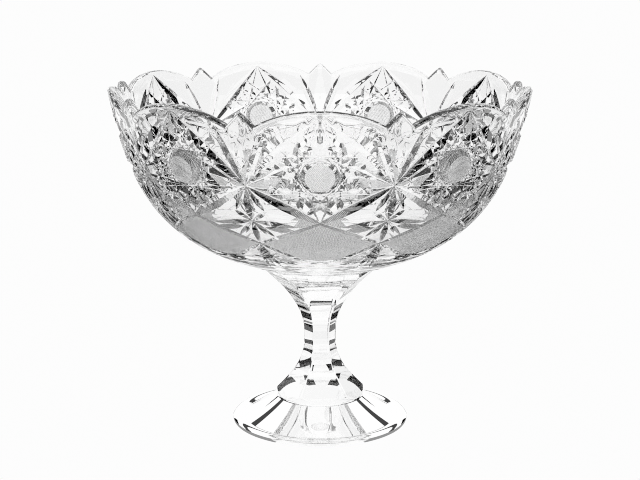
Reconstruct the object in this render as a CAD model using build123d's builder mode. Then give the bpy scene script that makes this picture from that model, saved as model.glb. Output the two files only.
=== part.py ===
# Footed punch bowl in cut clear crystal: a scalloped bowl, a six-sided stem and a round foot, bonded.
# Millimetres, +Z up. The origin is the middle of the face that the foot rests on.
import os
from math import cos, radians, sin

from build123d import *

os.makedirs("parts", exist_ok=True)

# Heights above the table
bowl_height = 254.0  # top of the scallops
bowl_base_height = 121.6  # flat pad under the bowl
stem_base_height = 20.3  # flat face under the stem
bond_thickness = 0.3  # clear adhesive between two pieces of glass
stem_top_height = bowl_base_height - bond_thickness
foot_top_height = stem_base_height - bond_thickness

# Bowl wall, as radius and height. A pull is a control point that the curve bends towards.
repeat_count = 9  # scallops, points and stars round the wall
base_radius = 46.0  # edge of the pad under the bowl
pad_edge = 0.6  # short upright edge of the pad
rim_radius = 152.5
wall_thickness = 6.5
floor_thickness = 7.4
floor_flat_radius = 16.0
inner_floor_height = bowl_base_height + floor_thickness
outer_pull_low = (123.0, 143.3)
outer_pull_high = (139.4, 185.1)
inner_pull_low = (109.4, inner_floor_height)
inner_pull_high = (134.2, 186.1)

# Rim outline between two scallop tops, as half-widths from the pointed tip and heights
rim_allowance = 2.0  # extra height that the outline is cut from
tip_height = 252.0
tip_pull = (2.04, 251.0)
tip_flank = (5.1, 247.6)
notch = (9.6, 243.5)
shoulder_pull = (20.0, 249.6)
scallop_pull_width = 16.0  # how far the scallop's top runs nearly level
cut_overlap = 4.0  # how far one gap's cut reaches over the scallop's top
rim_round = 2.2
rim_edge_search = 3.0  # the rim's edges are all above the notches less this
rim_edge_length = 8.5  # the rim's long edges; the short ones across the wall are left
rim_cut_start = 100.0  # distance from the axis at which the rim cut starts

# Raised round button in the middle of each star
button_height = 210.3
button_reach = 142.1  # distance of the button's centre from the bowl's axis
button_lean = 18.0  # how far the wall leans out there, in degrees from upright
button_base_radius = 13.2
button_face_radius = 10.2
button_rise = 2.2
button_root = 3.0  # how deep the button's root goes into the wall

# Stem: a round blank flared at both ends, with hollow flutes cut down its sides
side_count = 6
stem_turn = 5.0  # how far the stem's sides are turned from the bowl's pattern, in degrees
stem_top_radius = 44.6
stem_top_edge = 0.5
waist_radius = 12.0
waist_high = 69.0
waist_low = 62.0
stem_upper_pull_high = (27.7, 105.3)
stem_upper_pull_low = (waist_radius, 89.4)
stem_lower_pull_high = (waist_radius, 44.0)
stem_lower_pull_low = (25.0, 33.6)
flange_radius = 32.4
flange_top_height = 29.8
flute_reach = 60.0  # well outside the blank
flute_end_share = 0.99  # the flutes run out just inside the blank's two ends
flute_end_rise = 1.2  # upright edge left under the flutes

# Foot, as radius and height
foot_radius = 65.5
foot_side_pull = (foot_radius, 1.4)
foot_heel_pull = (65.2, 0)
foot_rest_outer = 64.3
foot_rest_inner = 56.0
foot_shoulder_radius = 32.8
cone_pull_high = (40.0, 14.6)
cone_pull_low = (48.0, 9.0)
ring_valley = (56.9, 4.4)
ring_crest = (61.4, 5.6)
ring_side = (foot_radius, 3.6)
hollow_pull_low = (50.5, 0.6)
hollow_pull_high = (40.5, 7.2)
hollow_shoulder = (31.0, 13.9)
crown_pull_outer = (28.6, 15.6)
crown_pull_inner = (22.0, 15.8)
hollow_crown_height = 15.8

# The bowl
pitch = 360.0 / repeat_count
rim_blank_height = bowl_height + rim_allowance
wall_foot = (base_radius, bowl_base_height + pad_edge)
wall_top = (rim_radius, bowl_height)
inner_top = (rim_radius - wall_thickness, bowl_height)

with BuildPart() as bowl:
    with BuildSketch(Plane.XZ) as wall_section:
        with BuildLine():
            Line((0, bowl_base_height), (base_radius, bowl_base_height))
            Line((base_radius, bowl_base_height), wall_foot)
            Bezier(wall_foot, outer_pull_low, outer_pull_high, wall_top)
            Line(wall_top, (rim_radius, rim_blank_height))
            Line((rim_radius, rim_blank_height), (inner_top[0], rim_blank_height))
            Line((inner_top[0], rim_blank_height), inner_top)
            Bezier(inner_top, inner_pull_high, inner_pull_low, (floor_flat_radius, inner_floor_height))
            Line((floor_flat_radius, inner_floor_height), (0, inner_floor_height))
            Line((0, inner_floor_height), (0, bowl_base_height))
        make_face()
    revolve(axis=Axis.Z)

    # The rim outline: everything above it is cut away, one gap at a time round the rim.
    half_gap = rim_radius * sin(radians(pitch / 2))
    half_cut = half_gap + cut_overlap
    cut_height = rim_blank_height + rim_allowance
    for index in range(repeat_count):
        bearing = radians(-90.0 + pitch * (index + 0.5))
        outward = Plane(
            origin=(rim_cut_start * cos(bearing), rim_cut_start * sin(bearing), 0),
            x_dir=(-sin(bearing), cos(bearing), 0),
            z_dir=(cos(bearing), sin(bearing), 0),
        )
        with BuildSketch(outward):
            with BuildLine() as outline:
                for side in (-1, 1):
                    Line((side * half_cut, cut_height), (side * half_cut, bowl_height))
                    Line((side * half_cut, bowl_height), (side * half_gap, bowl_height))
                    Bezier(
                        (side * half_gap, bowl_height),
                        (side * (half_gap - scallop_pull_width), bowl_height),
                        (side * shoulder_pull[0], shoulder_pull[1]),
                        (side * notch[0], notch[1]),
                    )
                    Bezier(
                        (side * notch[0], notch[1]),
                        (side * tip_flank[0], tip_flank[1]),
                        (side * tip_pull[0], tip_pull[1]),
                        (0, tip_height),
                    )
                Line((-half_cut, cut_height), (half_cut, cut_height))
            make_face()
        extrude(amount=rim_radius, mode=Mode.SUBTRACT)

    # The rim is fire polished: both of its long edges are rounded.
    rim_edges = [
        edge
        for edge in bowl.edges()
        if edge.center().Z > notch[1] - rim_edge_search and edge.length > rim_edge_length
    ]
    fillet(rim_edges, radius=rim_round)

    # The raised buttons, each a short cone standing square to the wall.
    lean = radians(button_lean)
    for index in range(repeat_count):
        bearing = radians(-90.0 + pitch * index)
        button_plane = Plane(
            origin=(button_reach * cos(bearing), button_reach * sin(bearing), button_height),
            x_dir=(-sin(bearing), cos(bearing), 0),
            z_dir=(cos(lean) * cos(bearing), cos(lean) * sin(bearing), -sin(lean)),
        )
        with BuildSketch(button_plane.offset(-button_root)):
            Circle(button_base_radius)
        with BuildSketch(button_plane.offset(button_rise)):
            Circle(button_face_radius)
        loft()
bowl.part.label = "bowl"
export_step(bowl.part, "parts/bowl.step")

# The clear bond between the bowl and the stem
with BuildPart() as bowl_bond:
    with BuildSketch(Plane.XY.offset(stem_top_height)):
        Circle(stem_top_radius)
    extrude(amount=bond_thickness)
bowl_bond.part.label = "bowl_bond"
export_step(bowl_bond.part, "parts/bowl_bond.step")

# The stem
blank_top = (stem_top_radius, stem_top_height - stem_top_edge)
blank_low = (flange_radius, flange_top_height)
flat_share = cos(radians(180.0 / side_count))  # a flat side's distance from the axis over its corner's
flute_top = (stem_top_radius * flute_end_share, stem_top_height)
flute_low = (flange_radius * flute_end_share, stem_base_height + flute_end_rise)
flute_waist_high = (waist_radius * flat_share, waist_high)
flute_waist_low = (waist_radius * flat_share, waist_low)

with BuildPart() as stem:
    with BuildSketch(Plane.XZ) as blank_section:
        with BuildLine():
            Line((0, stem_top_height), (stem_top_radius, stem_top_height))
            Line((stem_top_radius, stem_top_height), blank_top)
            Bezier(blank_top, stem_upper_pull_high, stem_upper_pull_low, (waist_radius, waist_high))
            Line((waist_radius, waist_high), (waist_radius, waist_low))
            Bezier((waist_radius, waist_low), stem_lower_pull_high, stem_lower_pull_low, blank_low)
            Line(blank_low, (flange_radius, stem_base_height))
            Line((flange_radius, stem_base_height), (0, stem_base_height))
            Line((0, stem_base_height), (0, stem_top_height))
        make_face()
    revolve(axis=Axis.Z)
    for index in range(side_count):
        bearing = radians(-90.0 + stem_turn + 360.0 / side_count * index)
        # x of this plane runs outwards, y runs up, so the flute is drawn from the side.
        side_plane = Plane(
            origin=(0, 0, 0),
            x_dir=(cos(bearing), sin(bearing), 0),
            z_dir=(sin(bearing), -cos(bearing), 0),
        )
        with BuildSketch(side_plane):
            with BuildLine():
                Line((flute_reach, stem_top_height), flute_top)
                Bezier(
                    flute_top,
                    (stem_upper_pull_high[0] * flat_share, stem_upper_pull_high[1]),
                    (stem_upper_pull_low[0] * flat_share, stem_upper_pull_low[1]),
                    flute_waist_high,
                )
                Line(flute_waist_high, flute_waist_low)
                Bezier(
                    flute_waist_low,
                    (stem_lower_pull_high[0] * flat_share, stem_lower_pull_high[1]),
                    (stem_lower_pull_low[0] * flat_share, stem_lower_pull_low[1]),
                    flute_low,
                )
                Line(flute_low, (flute_reach, flute_low[1]))
                Line((flute_reach, flute_low[1]), (flute_reach, stem_top_height))
            make_face()
        extrude(amount=flute_reach, both=True, mode=Mode.SUBTRACT)
stem.part.label = "stem"
export_step(stem.part, "parts/stem.step")

# The clear bond between the stem and the foot
with BuildPart() as foot_bond:
    with BuildSketch(Plane.XY.offset(foot_top_height)):
        Circle(flange_radius)
    extrude(amount=bond_thickness)
foot_bond.part.label = "foot_bond"
export_step(foot_bond.part, "parts/foot_bond.step")

# The foot: a hollow cone with a raised ring round its edge
with BuildPart() as foot:
    with BuildSketch(Plane.XZ) as foot_section:
        with BuildLine():
            Line((0, foot_top_height), (foot_shoulder_radius, foot_top_height))
            Bezier((foot_shoulder_radius, foot_top_height), cone_pull_high, cone_pull_low, ring_valley)
            ThreePointArc(ring_valley, ring_crest, ring_side)
            Bezier(ring_side, foot_side_pull, foot_heel_pull, (foot_rest_outer, 0))
            Line((foot_rest_outer, 0), (foot_rest_inner, 0))
            Bezier((foot_rest_inner, 0), hollow_pull_low, hollow_pull_high, hollow_shoulder)
            Bezier(hollow_shoulder, crown_pull_outer, crown_pull_inner, (0, hollow_crown_height))
            Line((0, hollow_crown_height), (0, foot_top_height))
        make_face()
    revolve(axis=Axis.Z)
foot.part.label = "foot"
export_step(foot.part, "parts/foot.step")
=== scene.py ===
import math

import bpy
import numpy as np
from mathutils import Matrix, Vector
from mathutils.geometry import delaunay_2d_cdt


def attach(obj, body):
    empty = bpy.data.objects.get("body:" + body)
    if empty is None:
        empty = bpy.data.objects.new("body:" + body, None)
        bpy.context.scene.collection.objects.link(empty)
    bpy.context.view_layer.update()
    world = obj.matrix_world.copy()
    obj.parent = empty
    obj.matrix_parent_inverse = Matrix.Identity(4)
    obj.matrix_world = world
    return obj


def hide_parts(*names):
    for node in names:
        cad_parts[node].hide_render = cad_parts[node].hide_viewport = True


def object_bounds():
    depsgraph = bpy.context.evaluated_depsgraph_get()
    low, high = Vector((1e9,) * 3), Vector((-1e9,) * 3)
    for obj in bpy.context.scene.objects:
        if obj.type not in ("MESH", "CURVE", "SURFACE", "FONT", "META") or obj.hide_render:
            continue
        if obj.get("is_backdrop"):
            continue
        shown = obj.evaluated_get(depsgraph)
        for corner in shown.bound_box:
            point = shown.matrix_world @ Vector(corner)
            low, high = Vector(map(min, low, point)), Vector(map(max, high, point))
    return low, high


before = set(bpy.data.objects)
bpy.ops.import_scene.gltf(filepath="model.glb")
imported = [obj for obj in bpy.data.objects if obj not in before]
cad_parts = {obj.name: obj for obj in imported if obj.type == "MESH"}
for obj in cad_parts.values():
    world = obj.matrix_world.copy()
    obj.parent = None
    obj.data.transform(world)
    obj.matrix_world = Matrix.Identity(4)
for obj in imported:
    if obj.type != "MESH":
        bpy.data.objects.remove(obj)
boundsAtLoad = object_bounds()
mm = 0.001


# Points of a cubic curve at shares t: the four control points weighted by (1-t)^3, 3t(1-t)^2, 3t^2(1-t)
# and t^3.
def cubic(points, t):
    p = np.asarray(points, float)
    t = np.asarray(t, float)[:, None]
    return (1 - t) ** 3 * p[0] + 3 * t * (1 - t) ** 2 * p[1] + 3 * t * t * (1 - t) * p[2] + t ** 3 * p[3]


# Points of rings about the axis, from a radius, a bearing in radians and a height: radius times the sine
# of the bearing, less radius times its cosine, and the height.
def ringPoints(radius, bearing, height):
    x = radius * np.sin(bearing)
    return np.stack([x, -radius * np.cos(bearing), np.broadcast_to(height, x.shape)], -1)


# The four-cornered faces between rows of points round the axis: each point with the next one round, and the
# same two in the next row up.
def ringFaces(rows, around):
    i, j = np.meshgrid(np.arange(rows - 1), np.arange(around), indexing="ij")
    k = (j + 1) % around
    low, high = i * around, (i + 1) * around
    return np.stack([low + j, low + k, high + k, high + j], -1).reshape(-1, 4)


# Puts points in millimetres and faces into a mesh object that rides on the one body and stands in for a CAD
# node. An edge is sharp where its faces turn by more than the sharp angle.
def makePiece(name, points, faces, faceSlots, node, sharpAngle):
    mesh = bpy.data.meshes.new(name)
    mesh.from_pydata((np.asarray(points) * mm).tolist(), [], faces)
    for material in (clearGlass, frostedGlass, bondedFace):
        mesh.materials.append(material)
    mesh.polygons.foreach_set("material_index", np.asarray(faceSlots, np.int32))
    mesh.update()
    mesh.shade_smooth()
    mesh.set_sharp_from_angle(angle=math.radians(sharpAngle))
    piece = bpy.data.objects.new(name, mesh)
    bpy.context.scene.collection.objects.link(piece)
    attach(piece, "root")
    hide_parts(node)
    return piece


# The three finishes of a face, in slot order.
clearSlot, frostedSlot, bondedSlot = 0, 1, 2

crystal = {
    "ior": 1.54,
    "tint": (1.0, 1.0, 1.0),
    "frostRoughness": 0.25,
    "hatchPitch": 0.85,  # millimetres from one line of the cross-hatch to the next
    "hatchDepth": 0.09,
    "patternScale": 0.01,  # map units to a millimetre of the flat pattern
}


# Glass that lets all light through, as rough as asked; an alpha of nothing leaves a face unseen.
def glassMaterial(name, roughness, alpha=1.0):
    material = bpy.data.materials.new(name)
    material.use_nodes = True
    shader = material.node_tree.nodes["Principled BSDF"]
    shader.inputs["Base Color"].default_value = (*crystal["tint"], 1)
    shader.inputs["Roughness"].default_value = roughness
    shader.inputs["IOR"].default_value = crystal["ior"]
    shader.inputs["Transmission Weight"].default_value = 1.0
    shader.inputs["Alpha"].default_value = alpha
    return material


clearGlass = glassMaterial("clear_crystal", 0.0)
frostedGlass = glassMaterial("frosted_crystal", crystal["frostRoughness"])
bondedFace = glassMaterial("bonded_face", 0.0, alpha=0.0)  # light passes from glass to glass unbent


# One step of arithmetic in a node tree; a step takes numbers or other steps' results.
def sumNode(tree, kind, *values):
    node = tree.nodes.new("ShaderNodeMath")
    node.operation = kind
    for socket, value in zip(node.inputs, values):
        if isinstance(value, (int, float)):
            socket.default_value = value
        else:
            tree.links.new(value, socket)
    return node.outputs[0]


# The frosted faces carry a fine diagonal cross-hatch on the wall's own flat pattern: the sine of x plus y
# plus the sine of x less y, each line a pitch from the next.
def addHatch(material):
    tree = material.node_tree
    shader = tree.nodes["Principled BSDF"]
    flat = tree.nodes.new("ShaderNodeUVMap")
    flat.uv_map = "pattern"
    split = tree.nodes.new("ShaderNodeSeparateXYZ")
    tree.links.new(flat.outputs["UV"], split.inputs[0])

    x, y, _ = split.outputs
    wave = 2 * math.pi / (crystal["hatchPitch"] * math.sqrt(2)) / crystal["patternScale"]
    along = sumNode(tree, "MULTIPLY", sumNode(tree, "ADD", x, y), wave)
    across = sumNode(tree, "MULTIPLY", sumNode(tree, "SUBTRACT", x, y), wave)
    height = sumNode(tree, "ADD", sumNode(tree, "SINE", along), sumNode(tree, "SINE", across))
    bump = tree.nodes.new("ShaderNodeBump")
    bump.inputs["Strength"].default_value = 1.0
    bump.inputs["Distance"].default_value = crystal["hatchDepth"] * mm
    tree.links.new(height, bump.inputs["Height"])
    tree.links.new(bump.outputs["Normal"], shader.inputs["Normal"])


addHatch(frostedGlass)
print("materials made")

# Curves are given as four control points, each a radius and a height.
bowl = {
    "repeats": 9,
    "baseHeight": 121.6,
    "padEdge": 0.6,
    "baseRadius": 46.0,
    "rimRadius": 152.5,
    "height": 254.0,
    "outerPulls": [(123.0, 143.3), (139.4, 185.1)],
    "innerPulls": [(109.4, 129.0), (134.2, 186.1)],
    "wall": 6.5,
    "innerFloor": 129.0,
    "flatFloorRadius": 16.0,
    "floorRings": (9.0, 3.0),
    "bondRadius": 44.6,
    "padRings": (22.0, 3.0),
    # Rim outline, as distance sideways from the tip and height
    "tip": [(9.6, 243.5), (5.1, 247.6), (2.04, 251.0), (0.0, 252.0)],
    "scallopPull": 16.0,  # how far the scallop's top runs nearly level
    "shoulder": [(20.0, 249.6), (9.6, 243.5)],
    "rimRound": 2.6,  # how far under the rim the cut wall ends
    "rimLift": 0.96,
    "rimSteps": 11,
    # Inside, row by row from the rim down to the floor
    "innerRows": 22,
    "innerEase": 1.6,  # how the rows draw together towards the floor
    "innerBlend": 6,  # the rim's own radius has faded out after one part in this many
    # Flat pattern
    "scale": 2.48,  # millimetres to a degree of bearing
    "steepness": 0.80,  # how far a cut deepens for each millimetre towards its middle
    "buttonRadius": 13.6,
    "buttonCentre": 137.5,  # along the wall from the pad's edge
    "starReach": 3.5,  # half-width of the star's straight cuts
    "grid": 6.0,  # extra points between the cuts, from the pad's edge up to a gap under the rim
    "gridTop": 182.0,
    "gridGap": 1.5,
    "sideStep": 4.0,  # extra points down the two sides of the half repeat
    "sideTop": 176.0,
    "past": 4.0,  # how far a cut round the axis runs past the half repeat
    "sharpAngle": 16,
}

outerCurve = [
    (bowl["baseRadius"], bowl["baseHeight"] + bowl["padEdge"]),
    *bowl["outerPulls"],
    (bowl["rimRadius"], bowl["height"]),
]
outerTable = cubic(outerCurve, np.linspace(0, 1, 4001))
outerLength = np.r_[0, np.cumsum(np.hypot(*np.diff(outerTable, axis=0).T))]
outerSlope = np.gradient(outerTable, outerLength, axis=0)
halfRepeat = bowl["scale"] * 180 / bowl["repeats"]


# The wall at a bearing in degrees and a distance along its outside: the curve turned about the axis,
# moved inwards by a depth along the wall's own normal.
def wallPoint(bearing, along, depth):
    r = np.interp(along, outerLength, outerTable[:, 0])
    z = np.interp(along, outerLength, outerTable[:, 1])
    dr = np.interp(along, outerLength, outerSlope[:, 0])
    dz = np.interp(along, outerLength, outerSlope[:, 1])
    size = np.hypot(dr, dz)
    r = r - depth * dz / size
    z = z + depth * dr / size
    return ringPoints(r, np.radians(bearing), z)


# The rim between a scallop's top and the pointed tip: two joined curves.
tipCurve = cubic(bowl["tip"], np.linspace(0, 1, 200))
halfGap = bowl["rimRadius"] * math.sin(math.radians(180 / bowl["repeats"]))
scallop = [(halfGap, bowl["height"]), (halfGap - bowl["scallopPull"], bowl["height"]), *bowl["shoulder"]]
scallopCurve = cubic(scallop, np.linspace(0, 1, 400))
rimCurve = np.r_[scallopCurve, tipCurve[1:]][::-1]
notchBearing = 180 / bowl["repeats"] - math.degrees(math.asin(bowl["tip"][0][0] / bowl["rimRadius"]))


# Where the rim comes at a bearing, as distance along the wall: the radius times the sine of the angle from
# the tip gives the distance sideways, the rim curve its height, and the wall curve the distance along.
def rimAlong(bearing):
    sideways = bowl["rimRadius"] * np.sin(np.radians(180 / bowl["repeats"] - np.asarray(bearing, float)))
    height = np.interp(sideways, rimCurve[:, 0], rimCurve[:, 1])
    return np.interp(height, outerTable[:, 1], outerLength)


print("wall curves made")


# One wheel cut from a to b on the flat pattern, as flat facets. Its half-width is given at shares of its
# length. Its depth is the steepness times what is left of the half-width: the half-width there less the
# distance from the middle line.
def wheelCut(a, b, widths, steepness=None):
    k = steepness or bowl["steepness"]
    a, b = np.array(a, float), np.array(b, float)
    along = b - a
    length = np.hypot(*along)
    along = along / length
    across = np.array([-along[1], along[0]])
    facets = []
    for (t0, w0), (t1, w1) in zip(widths[:-1], widths[1:]):
        p0, p1 = a + along * length * t0, a + along * length * t1
        rate = (w1 - w0) / (length * (t1 - t0))
        for side in (1, -1):
            corners = [p0, p1]
            if w1 > 0:
                corners.append(p1 + across * side * w1)
            if w0 > 0:
                corners.append(p0 + across * side * w0)
            slope = k * (rate * along - side * across)
            level = k * w0 - slope @ p0
            corners = np.array(corners)
            if side < 0:
                corners = corners[::-1]
            facets.append((corners, slope, level))
    return facets


# Half-widths along a cut that swells to a width at its peak share and narrows to its two ends: one less the
# square of what is left to the peak.
def lens(width, start=0.0, end=0.0, peak=0.5):
    shape = []
    for t in (0.0, 0.12, 0.3, 0.5, 0.7, 0.88, 1.0):
        u = t / peak if t < peak else (1 - t) / (1 - peak)
        bulge = 1 - (1 - u) ** 2
        floor = start * (1 - t) + end * t
        shape.append((t, floor + (width - floor) * bulge))
    return shape


# A round groove about a centre, as flat facets. Its depth is the steepness times the distance outside the
# inner edge, up to the middle, and falls back to nothing at the outer edge.
def roundCut(centre, inner, middle, outer, steepness, sectors=24):
    facets = []
    chord = math.cos(math.pi / sectors)
    back = steepness * (middle - inner) / (outer - middle)
    for index in range(sectors):
        a0, a1 = 2 * math.pi * index / sectors, 2 * math.pi * (index + 1) / sectors
        first, last = (np.array([math.cos(a), math.sin(a)]) for a in (a0, a1))
        normal = (first + last) / np.hypot(*(first + last))
        slope = steepness * normal
        rising = (inner, middle, slope, -steepness * inner * chord - slope @ centre)
        falling = (middle, outer, -back * normal, back * outer * chord + back * normal @ centre)
        for r0, r1, slope, level in (rising, falling):
            corners = [centre + r0 * first, centre + r1 * first, centre + r1 * last, centre + r0 * last]
            facets.append((np.array(corners), slope, level))
    return facets


# A cut round the axis: the same depth all the way, across the whole sector and a little past it.
def ringCut(height, width):
    past = bowl["past"]
    return wheelCut((-past, height), (halfRepeat + past, height), [(0, width), (1, width)])


# Where the line through p along d meets the segment from a to b, as a distance along d, or None: the two
# shares that solve p plus t times d equals a plus u times the segment.
def segmentHit(p, d, a, b):
    a, b = np.array(a, float), np.array(b, float)
    m = np.array([[d[0], -(b - a)[0]], [d[1], -(b - a)[1]]])
    if abs(np.linalg.det(m)) < 1e-9:
        return None
    t, u = np.linalg.solve(m, a - p)
    return t if -1e-6 <= u <= 1 + 1e-6 else None


# Places on the flat pattern: x is bearing times the scale, y is distance along the wall.
fan, fanLeft = (halfRepeat, 130.5), (-halfRepeat, 130.5)
diamondTop, diamondFoot = (0.0, 178.6), (0.0, 102.4)
smallStar = (halfRepeat, 103.0)
knot, knotLeft = (halfRepeat, 81.0), (-halfRepeat, 81.0)

# A row of a group is one cut: its two ends, its half-width, its half-widths at the ends, and the share of its
# length where it is widest.
pattern = {
    "diamondBorder": [
        (fan, diamondTop, 4.3, 0.0, 0.0, 0.45),
        (fanLeft, diamondTop, 4.3, 0.0, 0.0, 0.45),
        (fan, diamondFoot, 4.0, 0.0, 1.2, 0.55),
        (fanLeft, diamondFoot, 4.0, 0.0, 1.2, 0.55),
    ],
    # Half-widths of the star's straight cuts at shares of their length, as shares of the reach
    "cornerTaper": [(0, 0.0), (0.2, 0.3), (0.36, 1.0), (0.8, 1.0), (1, 0.2)],
    "sideTaper": [(0, 0.2), (0.22, 1.0), (0.78, 1.0), (1, 0.2)],
    "sideCuts": 8,
    "buttonGroove": (9.8, 12.2, 13.9, 1.15),
    "middleLeaf": (fan, (halfRepeat, 174.0), 3.6, 0.0, 0.0, 0.6),
    "middleLeafSteepness": 0.12,
    "fanAbove": [
        (fan, (33.6, 170.5), 3.0, 0.0, 0.0, 0.6),
        (fan, (21.5, 156.5), 1.7, 0.0, 0.0, 0.55),
    ],
    "fanBelow": [
        (fan, (halfRepeat, 105.0), 3.6, 0.0, 1.0, 0.72),
        (fan, (39.0, 111.5), 2.2, 0.0, 0.0, 0.6),
    ],
    "smallStar": [
        (smallStar, (37.5, 111.0), 1.8, 0.0, 0.0, 0.6),
        (smallStar, (15.0, 98.4), 2.4, 0.0, 0.0, 0.45),
        (smallStar, (34.0, 88.0), 1.5, 0.0, 0.0, 0.5),
        (smallStar, knot, 2.6, 0.0, 0.0, 0.5),
        (smallStar, (41.0, 91.0), 1.2, 0.0, 0.0, 0.6),
        ((41.0, 97.5), (17.0, 94.6), 2.8, 0.0, 0.0, 0.5),
    ],
    "almondEdge": [
        (knot, diamondFoot, 1.9, 0.6, 1.2, 0.5),
        (knotLeft, diamondFoot, 1.9, 0.6, 1.2, 0.5),
        (knot, (32.0, 69.5), 1.7, 0.0, 1.0, 0.5),
        ((33.4, 71.0), (18.5, 60.4), 1.7, 1.0, 1.0, 0.5),
        ((19.8, 61.0), (-4.0, 56.2), 1.7, 1.0, 1.4, 0.5),
        ((-19.8, 61.0), (4.0, 56.2), 1.7, 1.0, 1.4, 0.5),
    ],
    "raysUnderKnot": [
        (knot, (42.0, 44.0), 2.2, 0.0, 0.8, 0.5),
        (knot, (halfRepeat, 52.0), 2.4, 0.0, 0.5, 0.6),
        ((halfRepeat, 66.0), (33.5, 62.0), 2.0, 0.0, 0.0, 0.5),
        ((halfRepeat, 56.0), (22.0, 53.0), 2.0, 0.0, 0.0, 0.5),
        ((0.0, 56.0), (30.0, 50.5), 1.6, 0.0, 0.0, 0.5),
    ],
    "rings": [(45.5, 1.3), (20.0, 1.7), (1.9, 1.6)],  # height and half-width
}


# The star's straight cuts, each tangent to the button: two from each corner of the diamond, leaning from the
# line to the centre by the angle whose sine is radius over distance, and eight square to the button's radii.
def starCuts():
    corners = [fanLeft, diamondTop, fan, diamondFoot]
    sides = list(zip(corners, corners[1:] + corners[:1]))
    centre = np.array([0.0, bowl["buttonCentre"]])
    radius = bowl["buttonRadius"]
    cornerTaper, sideTaper = ([(t, share * bowl["starReach"]) for t, share in pattern[name]]
                              for name in ("cornerTaper", "sideTaper"))
    facets = []
    for corner in corners:
        p = np.array(corner)
        gap = centre - p
        distance = np.hypot(*gap)
        lean = math.asin(radius / distance)
        for turn in (lean, -lean):
            ct, st = math.cos(turn), math.sin(turn)
            d = gap / distance
            d = np.array([d[0] * ct - d[1] * st, d[0] * st + d[1] * ct])
            hits = [segmentHit(p, d, a, b) for a, b in sides]
            far = max(h for h in hits if h is not None)
            facets += wheelCut(p, p + d * far, cornerTaper)
    for turn in range(pattern["sideCuts"]):
        a = math.radians(360 // pattern["sideCuts"] * turn)
        normal = np.array([math.cos(a), math.sin(a)])
        d = np.array([-normal[1], normal[0]])
        p = centre + normal * radius
        hits = [segmentHit(p, d, u, v) for u, v in sides]
        hits = [h for h in hits if h is not None]
        ahead, behind = max(hits), min(hits)
        facets += wheelCut(p + d * behind, p + d * ahead, sideTaper)
    return facets + roundCut(centre, *pattern["buttonGroove"])


# Every cut of one half repeat.
def patternCuts():
    facets = []
    for a, b, *shape in pattern["diamondBorder"]:
        facets += wheelCut(a, b, lens(*shape))
    facets += starCuts()
    a, b, *shape = pattern["middleLeaf"]
    facets += wheelCut(a, b, lens(*shape), pattern["middleLeafSteepness"])
    for group in ("fanAbove", "fanBelow", "smallStar", "almondEdge", "raysUnderKnot"):
        for a, b, *shape in pattern[group]:
            facets += wheelCut(a, b, lens(*shape))
    for height, width in pattern["rings"]:
        facets += ringCut(height, width)
    return facets


# Depth of the deepest facet at each point: the largest of slope times place plus level over the facets that
# the point lies in.
def depthAt(points, facets):
    best = np.zeros(len(points))
    for corners, slope, level in facets:
        low, high = corners.min(0) - 1e-6, corners.max(0) + 1e-6
        near = np.nonzero(((points >= low) & (points <= high)).all(1))[0]
        if len(near) == 0:
            continue
        p = points[near]
        inside = np.ones(len(near), bool)
        for a, b in zip(corners, np.roll(corners, -1, 0)):
            inside &= (b[0] - a[0]) * (p[:, 1] - a[1]) - (b[1] - a[1]) * (p[:, 0] - a[0]) >= -1e-6
        near = near[inside]
        depth = points[near] @ slope + level
        better = depth > best[near] + 1e-9
        best[near[better]] = depth[better]
    return best


# The part of the line through p along d that lies in a convex outline, as distances along d, or None: each
# side of the outline moves the low end up or the high end down.
def clipLine(p, d, corners, low, high):
    for a, b in zip(corners, np.roll(corners, -1, 0)):
        e = b - a
        value = e[0] * (p[1] - a[1]) - e[1] * (p[0] - a[0])
        rate = e[0] * d[1] - e[1] * d[0]
        if abs(rate) < 1e-12:
            if value < -1e-7:
                return None
            continue
        t = -value / rate
        if rate > 0:
            low = max(low, t)
        else:
            high = min(high, t)
        if high - low < 1e-4:
            return None
    return low, high


# Lines where the surface folds: the edges of the facets, and the lines where two facets are equally deep.
# Only stretches where the line's own facet is the deepest are kept.
def foldLines(facets):
    lines, levels = [], []
    boxes = np.array([np.r_[c.min(0), c.max(0)] for c, _, _ in facets])
    for corners, slope, level in facets:
        for a, b in zip(corners, np.roll(corners, -1, 0)):
            lines.append((a, b))
            levels.append((slope, level))
    for i, (ci, si, li) in enumerate(facets):
        near = np.nonzero(
            (boxes[i + 1:, 0] < boxes[i, 2]) & (boxes[i + 1:, 2] > boxes[i, 0])
            & (boxes[i + 1:, 1] < boxes[i, 3]) & (boxes[i + 1:, 3] > boxes[i, 1])
        )[0] + i + 1
        for j in near:
            cj, sj, lj = facets[j]
            n = si - sj
            size = np.hypot(*n)
            if size < 1e-6:
                continue
            n = n / size
            p = -n * (li - lj) / size
            d = np.array([-n[1], n[0]])
            span = clipLine(p, d, ci, -1e4, 1e4)
            if span:
                span = clipLine(p, d, cj, *span)
            if span:
                lines.append((p + d * span[0], p + d * span[1]))
                levels.append((si, li))
    lines = np.array(lines)
    starts, ends = [], []
    steps = np.linspace(0, 1, 25)
    points = lines[:, None, 0] + (lines[:, None, 1] - lines[:, None, 0]) * steps[:, None]
    deepest = depthAt(points.reshape(-1, 2), facets)
    own = np.array([points[i] @ s + l for i, (s, l) in enumerate(levels)])
    top = own >= deepest.reshape(own.shape) - 1e-4
    top[:, 1:] |= top[:, :-1]
    top[:, :-1] |= top[:, 1:]
    for row, flags in zip(points, top):
        edges = np.flatnonzero(np.diff(np.r_[0, flags.astype(int), 0]))
        for start, stop in zip(edges[::2], edges[1::2]):
            if stop - start > 1:
                starts.append(row[start])
                ends.append(row[stop - 1])
    return np.array(starts), np.array(ends)


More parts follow.
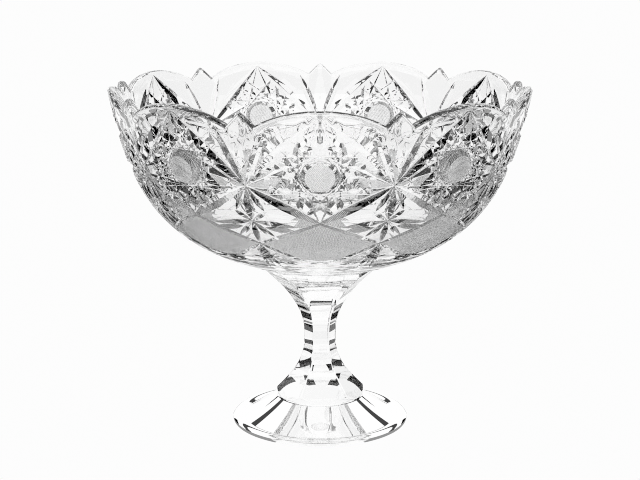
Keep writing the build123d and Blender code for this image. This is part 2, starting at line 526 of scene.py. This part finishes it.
# The flat pattern of half a repeat, cut into triangles along every fold line. A fold line that leaves the
# half repeat is cut off at its side, and a triangle stays if its middle lies under the rim.
def flatPattern(facets):
    edge = halfRepeat
    bearings = np.r_[np.linspace(0, notchBearing, 31), np.linspace(notchBearing, 180 / bowl["repeats"], 13)]
    bearings = np.unique(bearings)
    rim = np.c_[bearings * bowl["scale"], rimAlong(bearings) - bowl["rimRound"]]
    a, b = foldLines(facets)
    inside = (np.maximum(a[:, 0], b[:, 0]) > -1e-6) & (np.minimum(a[:, 0], b[:, 0]) < edge + 1e-6)
    a, b = a[inside], b[inside]
    for limit, sign in ((0.0, 1), (edge, -1)):
        for near, far in ((a, b), (b, a)):
            out = (sign * (near[:, 0] - limit) < 0) & (np.abs(far[:, 0] - near[:, 0]) > 1e-9)
            share = (limit - near[out, 0]) / (far[out, 0] - near[out, 0])
            near[out] += (far[out] - near[out]) * share[:, None]
            near[out, 0] = limit
    long = np.hypot(*(a - b).T) > 1e-3
    a, b = a[long], b[long]
    low = np.c_[np.linspace(0, edge, 9), np.zeros(9)]
    outline = np.r_[low, rim[::-1]]
    g, step = bowl["grid"], bowl["sideStep"]
    gx, gy = np.meshgrid(np.arange(g / 2, edge - 1, g), np.arange(g / 2, bowl["gridTop"], g))
    extra = np.c_[gx.ravel(), gy.ravel()]
    extra = extra[extra[:, 1] < np.interp(extra[:, 0], rim[:, 0], rim[:, 1]) - bowl["gridGap"]]
    side = np.arange(step, bowl["sideTop"], step)
    extra = np.r_[extra, np.c_[np.zeros(len(side)), side], np.c_[np.full(len(side), edge), side]]
    points = np.r_[outline, a, b, extra]
    n, m = len(outline), len(a)
    edges = [(i, (i + 1) % n) for i in range(n)] + [(n + i, n + m + i) for i in range(m)]
    made = delaunay_2d_cdt([Vector(p) for p in points], edges, [], 0, 2e-4, False)
    verts = np.array([tuple(v) for v in made[0]], float)
    faces = np.array([f for f in made[2] if len(f) == 3])
    middle = verts[faces].mean(1)
    keep = (middle[:, 0] > 0) & (middle[:, 0] < edge) & (middle[:, 1] > 0)
    keep &= middle[:, 1] < np.interp(middle[:, 0], rim[:, 0], rim[:, 1])
    e1, e2 = verts[faces[:, 1]] - verts[faces[:, 0]], verts[faces[:, 2]] - verts[faces[:, 0]]
    area = e1[:, 0] * e2[:, 1] - e1[:, 1] * e2[:, 0]
    keep &= np.abs(area) > 1e-7
    faces = faces[keep]
    area = area[keep]
    faces[area < 0] = faces[area < 0][:, ::-1]
    used, faces = np.unique(faces, return_inverse=True)
    return verts[used], faces.reshape(-1, 3), rim


facets = patternCuts()
print("cut facets", len(facets))
flat, flatFaces, flatRim = flatPattern(facets)
print("flat pattern: points", len(flat), "triangles", len(flatFaces))


frost = {
    "uncut": 0.02,  # a frosted face is cut no deeper than this
    "buttonEdge": 2.2,  # clear edge left round the button's face
    "almondLow": [(0, 56.5), (19, 60.8), (33, 70.6), (halfRepeat, 81.0)],
    "almondGap": 1.0,
    "corner": (3.5, 18.0),  # the small frosted corners by the diamond's foot, from and to sideways
    "cornerLow": (98.5, 0.02),  # height and rise of the line under them
    "cornerHigh": (102.4, 0.566),
}


# True where a flat point lies in a frosted area: the button's face, the almond between its upper line and its
# lower one, and the corners beside the diamond's foot.
def frostedAt(points, depth):
    x, y = points[:, 0], points[:, 1]
    uncut = depth < frost["uncut"]
    button = np.hypot(x, y - bowl["buttonCentre"]) < bowl["buttonRadius"] - frost["buttonEdge"]
    upper = diamondFoot[1] + (knot[1] - diamondFoot[1]) * x / halfRepeat
    lower = np.interp(x, *zip(*frost["almondLow"]))
    almond = (y < upper) & (y > lower) & (x < halfRepeat - frost["almondGap"])
    corner = (x > frost["corner"][0]) & (x < frost["corner"][1])
    for sign, (height, rise) in ((1, frost["cornerLow"]), (-1, frost["cornerHigh"])):
        corner &= sign * y > sign * (height + rise * x)
    return (uncut & (button | almond)) | (corner & (y > upper + frost["almondGap"]))


# Rows of points over the rim and down the inside. Over the rim a row is half the wall times one less the
# cosine of its turn inwards, and the rim's height times its sine upwards. Inside, the rows ease down to the
# floor, and each lies on the inner curve, with what is left of the rim's own radius faded out.
def innerRows(rimBearing, start):
    rise = rimAlong(rimBearing) - start
    arc = np.linspace(0, math.pi, bowl["rimSteps"])[1:]
    rows = []
    for share, lift in zip(0.5 * bowl["wall"] * (1 - np.cos(arc)), np.sin(arc)):
        rows.append(wallPoint(rimBearing, start + rise * lift * bowl["rimLift"], np.full(len(start), share)))
    floor = bowl["innerFloor"]
    top = (bowl["rimRadius"] - bowl["wall"], bowl["height"])
    table = cubic([(bowl["flatFloorRadius"], floor), *bowl["innerPulls"], top], np.linspace(0, 1, 2001))
    a = np.radians(rimBearing)
    lastRadius, lastHeight = np.hypot(rows[-1][:, 0], rows[-1][:, 1]), rows[-1][:, 2]
    first = lastRadius - np.interp(lastHeight, table[:, 1], table[:, 0])
    for step in range(1, bowl["innerRows"] + 1):
        u = step / bowl["innerRows"]
        height = floor + (lastHeight - floor) * (1 - u) ** bowl["innerEase"]
        radius = np.interp(height, table[:, 1], table[:, 0]) + first * max(0.0, 1 - u * bowl["innerBlend"])
        if step == bowl["innerRows"]:
            radius = np.full_like(radius, bowl["flatFloorRadius"])
        rows.append(ringPoints(radius, a, height))
    for radius in bowl["floorRings"]:
        rows.append(ringPoints(np.full(len(a), radius), a, floor))
    return rows


# One half repeat of the bowl: the flat pattern wrapped on the wall, with the rim and the inside hung from its
# upper border and the pad from its lower one. Gives points, triangles, slots and places on the pattern.
def halfSector():
    outer = wallPoint(flat[:, 0] / bowl["scale"], flat[:, 1], depthAt(flat, facets))
    middle = flat[flatFaces].mean(1)
    frosted = np.where(frostedAt(middle, depthAt(middle, facets)), frostedSlot, clearSlot)
    points, faces, slots = [outer], [flatFaces], [frosted]
    count = len(outer)

    # Rows of points joined to a border and to each other by two triangles for each gap, then to a pole on the
    # axis at a height. Flip turns the triangles over.
    def hang(rows, border, height, flip, slotOf):
        nonlocal count
        for number, row in enumerate(rows):
            new = np.arange(count, count + len(row))
            a, b, c, d = border[:-1], border[1:], new[1:], new[:-1]
            strip = np.r_[np.c_[a, b, c], np.c_[a, c, d]]
            points.append(row)
            faces.append(strip[:, ::-1] if flip else strip)
            slots.append(np.full(len(strip), slotOf(number)))
            count += len(row)
            border = new
        a, b = (border[1:], border[:-1]) if flip else (border[:-1], border[1:])
        points.append(np.array([[0, 0, height]]))
        faces.append(np.c_[a, b, np.full(len(a), count)])
        slots.append(np.full(len(a), slotOf(len(rows))))
        count += 1

    onRim = np.abs(flat[:, 1] - np.interp(flat[:, 0], flatRim[:, 0], flatRim[:, 1])) < 2e-3
    rim = np.nonzero(onRim)[0]
    rim = rim[np.argsort(flat[rim, 0])]
    inside = innerRows(flat[rim, 0] / bowl["scale"], flat[rim, 1])
    hang(inside, rim, bowl["innerFloor"], False, lambda number: clearSlot)

    low = np.nonzero(flat[:, 1] < 1e-6)[0]
    low = low[np.argsort(flat[low, 0])]
    a = np.radians(flat[low, 0] / bowl["scale"])
    radii = (bowl["baseRadius"], bowl["bondRadius"], *bowl["padRings"])
    pad = [ringPoints(np.full(len(a), radius), a, bowl["baseHeight"]) for radius in radii]
    hang(pad, low, bowl["baseHeight"], True, lambda number: bondedSlot if number >= 2 else clearSlot)

    onPattern = np.zeros((count, 2))
    onPattern[:len(flat)] = flat - [0, bowl["buttonCentre"]]
    return np.concatenate(points), np.concatenate(faces), np.concatenate(slots), onPattern


# The whole bowl: the half repeat and its mirror image, turned about the axis to each repeat, with points at
# the same place joined into one.
def buildBowl():
    half, halfFaces, halfSlots, halfPattern = halfSector()
    points, faces, slots, places = [], [], [], []
    for repeat in range(bowl["repeats"]):
        turn = math.radians(repeat * 360 / bowl["repeats"])
        ct, st = math.cos(turn), math.sin(turn)
        for mirror in (1, -1):
            p = half * [mirror, 1, 1]
            faces.append((halfFaces if mirror > 0 else halfFaces[:, ::-1]) + len(half) * len(points))
            points.append(np.c_[p[:, 0] * ct - p[:, 1] * st, p[:, 0] * st + p[:, 1] * ct, p[:, 2]])
            slots.append(halfSlots)
            places.append(halfPattern * [mirror, 1])
    points, faces, slots, places = (np.concatenate(rows) for rows in (points, faces, slots, places))
    _, first, back = np.unique(np.round(points, 3), axis=0, return_index=True, return_inverse=True)
    places = places[faces]
    faces = back.ravel()[faces]
    solid = (faces[:, 0] != faces[:, 1]) & (faces[:, 1] != faces[:, 2]) & (faces[:, 0] != faces[:, 2])
    faces, slots, places = faces[solid], slots[solid], places[solid]
    piece = makePiece("crystal_bowl", points[first], faces.tolist(), slots, "bowl",
                      bowl["sharpAngle"])
    layer = piece.data.uv_layers.new(name="pattern")
    layer.data.foreach_set("uv", (places.reshape(-1, 2) * crystal["patternScale"]).astype(np.float32).ravel())
    print("bowl: points", len(first), "triangles", len(faces))
    return piece


crystalBowl = buildBowl()


turned = {"columns": 144, "sharpAngle": 30}


# A closed round piece: a profile of radius and height turned about the axis, with both poles closed.
def turnedPiece(name, profile, profileSlots, node):
    around = turned["columns"]
    profile = np.asarray(profile, float)
    body = profile[1:-1]
    rows = len(body)
    a = np.linspace(0, 2 * np.pi, around, endpoint=False)
    rings = ringPoints(body[:, :1], a, body[:, 1:]).reshape(-1, 3)
    points = np.r_[rings, [[0, 0, profile[0, 1]]], [[0, 0, profile[-1, 1]]]]
    j = np.arange(around)
    k = (j + 1) % around
    first = np.c_[np.full(around, rows * around), k, j]
    last = np.c_[np.full(around, rows * around + 1), (rows - 1) * around + j, (rows - 1) * around + k]
    faces = ringFaces(rows, around).tolist() + first.tolist() + last.tolist()
    slots = np.repeat([*profileSlots[1:-1], profileSlots[0], profileSlots[-1]], around)
    piece = makePiece(name, points, faces, slots, node, turned["sharpAngle"])
    print(name, "faces", len(faces))
    return piece


# The foot's section, as curves of radius and height.
foot = {
    "top": 20.0,
    "bondRadius": 32.4,
    "innerRing": 10.0,
    "cone": [(32.8, 20.0), (40.0, 14.6), (48.0, 9.0), (56.9, 4.4)],
    "ring": [(56.9, 4.4), (61.4, 5.6), (65.5, 3.6)],
    "side": [(65.5, 3.6), (65.5, 1.4), (65.2, 0.0), (64.3, 0.0)],
    "hollow": [(56.0, 0.0), (50.5, 0.6), (40.5, 7.2), (31.0, 13.9)],
    "crown": [(31.0, 13.9), (28.6, 15.6), (22.0, 15.8), (0.0, 15.8)],
}


# Points of the circle through three points, from the first to the last. Its centre is as far from the first
# point as from the other two, which is two straight equations.
def arcThrough(points, count):
    (ax, ay), (bx, by), (cx, cy) = points
    m = 2 * np.array([[bx - ax, by - ay], [cx - ax, cy - ay]])
    v = np.array([bx * bx - ax * ax + by * by - ay * ay, cx * cx - ax * ax + cy * cy - ay * ay])
    centre = np.linalg.solve(m, v)
    r = math.hypot(ax - centre[0], ay - centre[1])
    a0, a1, a2 = (math.atan2(y - centre[1], x - centre[0]) for x, y in points)
    a = np.linspace(a0, a2, count)
    return np.c_[centre[0] + r * np.cos(a), centre[1] + r * np.sin(a)]


# The foot: its section turned about the axis, from the middle of its top over the cone and the ring to the
# table, and back up the hollow to the middle of the crown.
def buildFoot():
    t = np.linspace(0, 1, 25)
    profile = np.r_[
        [(0.0, foot["top"]), (foot["innerRing"], foot["top"]), (foot["bondRadius"], foot["top"])],
        cubic(foot["cone"], t),
        arcThrough(foot["ring"], 17)[1:],
        cubic(foot["side"], np.linspace(0, 1, 9))[1:],
        cubic(foot["hollow"], t),
        cubic(foot["crown"], np.linspace(0, 1, 17))[1:],
    ]
    slots = np.full(len(profile) - 1, clearSlot)
    slots[:2] = bondedSlot
    return turnedPiece("crystal_foot", profile, slots, "foot")


crystalFoot = buildFoot()


# A bond: a flat round film whose two faces are joined to glass, so only its edge is seen.
def buildBond(name, node, radius, low, high):
    half = radius * 0.5
    profile = [(0, high), (half, high), (radius, high), (radius, low), (half, low), (0, low)]
    slots = [bondedSlot, bondedSlot, clearSlot, bondedSlot, bondedSlot]
    return turnedPiece(name, profile, slots, node)


bowlBond = buildBond("bowl_bond_film", "bowl_bond", 44.6, 121.3, 121.6)
footBond = buildBond("foot_bond_film", "foot_bond", 32.4, 20.0, 20.3)

# Pulls are radius and height. The flutes' pulls are the blank's own, brought in to a flat side's distance.
stem = {
    "turn": 5.0,
    "sides": 6,
    "top": 121.3,
    "bottom": 20.3,
    "topRadius": 44.6,
    "topEdge": 0.5,
    "waist": 12.0,
    "waistLow": 62.0,
    "waistHigh": 69.0,
    "lowerPulls": [(25.0, 33.6), (12.0, 44.0)],
    "upperPulls": [(12.0, 89.4), (27.7, 105.3)],
    "flange": 32.4,
    "flangeTop": 29.8,
    # Rounded edges of the flange: how far in from its radius, and how far up from its bottom or its top
    "flangeLowEdge": [(1.0, 0.0), (0.3, 0.3), (0.0, 1.0)],
    "flangeHighEdge": [(0.0, -1.5), (0.5, -0.5)],
    "fluteEnd": 0.99,  # the flutes run out just inside the blank's two ends
    "fluteEndRise": 1.2,
    "cornerRound": 1.3,  # radius of a corner where a side is 10 mm from the axis
    "cornerGrowth": 0.05,  # how much rounder a corner gets for each millimetre further out
    "endRing": 12.0,
    "columns": 24,
    "sharpAngle": 22,
}


# The two curves of the stem's outline from its flange to its waist and from its waist to its top. The share
# brings everything in towards the axis.
def stemCurves(low, high, share):
    t = np.linspace(0, 1, 400)
    (a, b), (c, d) = ([(r * share, z) for r, z in stem[name]] for name in ("lowerPulls", "upperPulls"))
    waist = stem["waist"] * share
    lower = cubic([low, a, b, (waist, stem["waistLow"])], t)
    return np.r_[lower, cubic([(waist, stem["waistHigh"]), c, d, high], t)]


# The stem's distance from the axis: the lesser of a round blank and a six-sided section with rounded
# corners. A side at bearing phi from its middle is apothem over cosine phi, and a corner is a small circle.
def stemRadius(heights, local, sector):
    share = math.cos(sector / 2)
    edges = [(stem["flange"] - inset, base + rise) for base, name in (
        (stem["bottom"], "flangeLowEdge"), (stem["flangeTop"], "flangeHighEdge")) for inset, rise in stem[name]]
    top = (stem["topRadius"], stem["top"] - stem["topEdge"])
    outline = stemCurves((stem["flange"], stem["flangeTop"]), top, 1.0)
    blank = np.r_[edges, outline, [(stem["topRadius"], stem["top"])]]
    flute = stemCurves((stem["flange"] * stem["fluteEnd"], stem["bottom"] + stem["fluteEndRise"]),
                       (stem["topRadius"] * stem["fluteEnd"], stem["top"]), share)
    blankRadius = np.interp(heights, blank[:, 1], blank[:, 0])[:, None]
    apothem = np.interp(heights, flute[:, 1], flute[:, 0], left=99.0)[:, None]
    corner = np.minimum(stem["cornerRound"] * (1 + (apothem - 10) * stem["cornerGrowth"]), apothem * 0.9)
    c = (apothem - corner) / share
    psi = sector / 2 - local
    side = apothem / np.cos(local)
    bend = c * np.cos(psi) + np.sqrt(np.maximum(corner ** 2 - (c * np.sin(psi)) ** 2, 0))
    onSide = np.tan(local) * apothem <= (apothem - corner) * math.tan(sector / 2)
    return np.minimum(blankRadius, np.where(onSide, side, bend))


# The stem: a ring of points at each height, closed at both ends by flat faces that are bonded.
def buildStem():
    bottom, top = stem["bottom"], stem["top"]
    fluteLow = bottom + stem["fluteEndRise"]
    heights = np.unique(np.r_[
        np.linspace(bottom, fluteLow, 3),
        np.linspace(fluteLow, 32.0, 44),
        np.linspace(32.0, 100.0, 60),
        np.linspace(100.0, top - stem["topEdge"], 50),
        top,
    ])
    around = stem["sides"] * stem["columns"]
    phi = np.linspace(0, 2 * np.pi, around, endpoint=False)
    sector = 2 * np.pi / stem["sides"]
    local = np.abs((phi + sector / 2) % sector - sector / 2)
    radius = stemRadius(heights, local, sector)
    bearing = phi + math.radians(stem["turn"])
    rings = ringPoints(radius, bearing, heights[:, None])
    inner = [ringPoints(np.full(around, stem["endRing"]), bearing, z) for z in (bottom, top)]
    points = np.r_[rings.reshape(-1, 3), inner[0], inner[1], [[0, 0, bottom]], [[0, 0, top]]]
    rows = len(heights)
    j = np.arange(around)
    k = (j + 1) % around
    last, lowIn, highIn, pole = ((rows + n) * around for n in (-1, 0, 1, 2))
    sides = ringFaces(rows, around)
    ends = [np.c_[lowIn + j, lowIn + k, k, j], np.c_[last + j, last + k, highIn + k, highIn + j]]
    caps = [np.c_[lowIn + k, lowIn + j, np.full(around, pole)],
            np.c_[highIn + j, highIn + k, np.full(around, pole + 1)]]
    faces = [face for part in (sides, *ends, *caps) for face in part.tolist()]
    slots = np.r_[np.full(len(sides), clearSlot), np.full(4 * around, bondedSlot)]
    piece = makePiece("crystal_stem", points, faces, slots, "stem", stem["sharpAngle"])
    print("stem faces", len(faces))
    return piece


crystalStem = buildStem()

# The floor is in metres, a little under the foot so that they don't share a plane.
studio = {
    "floorSize": 20.0,
    "floorDrop": 0.0002,
    "floorColour": (0.98, 0.98, 0.98),
    # Dark hangings round the set: bearing away from straight behind, from and to, then height above the
    # horizon, from and to, all in degrees, and the light they give.
    "hangings": [(30, 181, 4, 20, 0.0), (-1, 181, 30, 36, 0.06), (150, 181, 54, 91, 0.0)],
    # Cards lying on the floor, painted shade seen only through the glass: the nearest, under the foot, a painted
    # shadow
    #     # of the bowl, the rest dark patches that paint the glass's dark lines and edges. Bearing from and to,
    #     distance
    #     # from the bowl's axis in metres, and their light.
    "shadeCards": [
        (10, 170, 0.0255, 0.038, 0.0),
        (0, 180, 0.0445, 0.047, 0.1),
        (85, 150, 0.066, 0.12, 0.3),
        (30, 150, 0.12, 0.18, 0.0),
        (75, 150, 0.18, 0.25, 0.0),
        (30, 150, 0.25, 0.75, 0.0),
        (30, 150, 1.20, 12.0, 0.25),
        (150, 180, 0.12, 0.25, 0.0),
        (150, 180, 0.75, 1.20, 0.0),
    ],
    "cardHeight": 0.0005,
    "cardSteps": 24,
}


# A surface that gives out one even colour of light.
def glowing(name, colour):
    material = bpy.data.materials.new(name)
    material.use_nodes = True
    tree = material.node_tree
    tree.nodes.clear()
    glow = tree.nodes.new("ShaderNodeEmission")
    glow.inputs["Color"].default_value = (*colour, 1)
    out = tree.nodes.new("ShaderNodeOutputMaterial")
    tree.links.new(glow.outputs[0], out.inputs["Surface"])
    return material


# One flat sheet of the studio.
def addSheet(name, points, faces, material):
    mesh = bpy.data.meshes.new(name)
    mesh.from_pydata(points, [], faces)
    mesh.materials.append(material)
    sheet = bpy.data.objects.new(name, mesh)
    bpy.context.scene.collection.objects.link(sheet)
    sheet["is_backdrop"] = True
    return sheet


# The floor is one white sheet. A card is a flat part of a ring, with its mirror image on the other side: its
# points are distance times sine and cosine of the bearing from straight behind. The camera sees no card, so a
# card is painted shade that only the glass shows.
def buildFloor():
    s, drop = studio["floorSize"], -studio["floorDrop"]
    corners = [(-s, -s, drop), (s, -s, drop), (s, s, drop), (-s, s, drop)]
    addSheet("floor", corners, [(0, 1, 2, 3)], glowing("floor_white", studio["floorColour"]))
    steps = studio["cardSteps"]
    i = np.arange(steps)
    faces = np.c_[i, i + 1, i + steps + 2, i + steps + 1].tolist()
    for number, (first, last, near, far, light) in enumerate(studio["shadeCards"]):
        for side in (-1, 1):
            a = np.radians(side * np.linspace(first, last, steps + 1))
            x, y = (np.concatenate([near * turn, far * turn]) for turn in (np.sin(a), np.cos(a)))
            points = np.c_[x, y, np.full(len(x), studio["cardHeight"])].tolist()
            name = f"card_{number}_{'left' if side < 0 else 'right'}"
            # A card's dim or black glow is painted shade on the floor; under the foot it is a painted shadow of
            # the bowl.
            addSheet(name, points, faces, glowing("card_painted_shade", (light, light, light))).visible_camera = False


# The set round the bowl is white but for the hangings: the light is multiplied by a hanging's own where the
# bearing and the height lie within its limits. Behind the bowl the camera sees plain white.
def buildWorld():
    world = bpy.data.worlds.new("studio")
    bpy.context.scene.world = world
    world.use_nodes = True
    tree = world.node_tree
    tree.nodes.clear()
    place = tree.nodes.new("ShaderNodeTexCoord")
    split = tree.nodes.new("ShaderNodeSeparateXYZ")
    tree.links.new(place.outputs["Generated"], split.inputs[0])
    x, y, z = split.outputs
    bearing = sumNode(tree, "MULTIPLY", sumNode(tree, "ARCTAN2", sumNode(tree, "ABSOLUTE", x), y), 180 / math.pi)
    height = sumNode(tree, "MULTIPLY", sumNode(tree, "ARCSINE", z), 180 / math.pi)
    light = None
    for first, last, low, high, dark in studio["hangings"]:
        inside = None
        for value, limit, kind in ((bearing, first, "GREATER_THAN"), (bearing, last, "LESS_THAN"),
                                   (height, low, "GREATER_THAN"), (height, high, "LESS_THAN")):
            test = sumNode(tree, kind, value, float(limit))
            inside = test if inside is None else sumNode(tree, "MULTIPLY", inside, test)
        share = sumNode(tree, "MULTIPLY_ADD", inside, dark - 1.0, 1.0)
        light = share if light is None else sumNode(tree, "MULTIPLY", light, share)
    hung = tree.nodes.new("ShaderNodeBackground")
    tree.links.new(light, hung.inputs["Color"])
    plain = tree.nodes.new("ShaderNodeBackground")
    plain.inputs["Color"].default_value = (1, 1, 1, 1)
    path = tree.nodes.new("ShaderNodeLightPath")
    mix = tree.nodes.new("ShaderNodeMixShader")
    out = tree.nodes.new("ShaderNodeOutputWorld")
    tree.links.new(path.outputs["Is Camera Ray"], mix.inputs[0])
    tree.links.new(hung.outputs[0], mix.inputs[1])
    tree.links.new(plain.outputs[0], mix.inputs[2])
    tree.links.new(mix.outputs[0], out.inputs["Surface"])


buildFloor()
buildWorld()
print("studio made")

# Place in metres, degrees down from level, and the lens and sensor in millimetres.
camera = {"place": (0.0, -1.0708, 0.38355), "down": 12.913, "lens": 83.75, "sensor": 36, "clip": (0.05, 60)}
lensData = bpy.data.cameras.new("camera")
lensData.sensor_width = camera["sensor"]
lensData.lens = camera["lens"]
lensData.clip_start, lensData.clip_end = camera["clip"]
view = bpy.data.objects.new("camera", lensData)
view.location = camera["place"]
view.rotation_euler = (math.radians(90 - camera["down"]), 0, 0)
bpy.context.scene.collection.objects.link(view)
bpy.context.scene.camera = view

scene = bpy.context.scene
scene.view_settings.view_transform = "Standard"
# Light passes many faces of glass, so it is followed further than usual.
scene.cycles.filter_width = 1.0
scene.cycles.max_bounces = 32
scene.cycles.transmission_bounces = 32
scene.cycles.glossy_bounces = 12
scene.cycles.transparent_max_bounces = 32

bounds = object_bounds()
for box in (boundsAtLoad, bounds):
    print("size", [round(v, 5) for corner in box for v in corner])
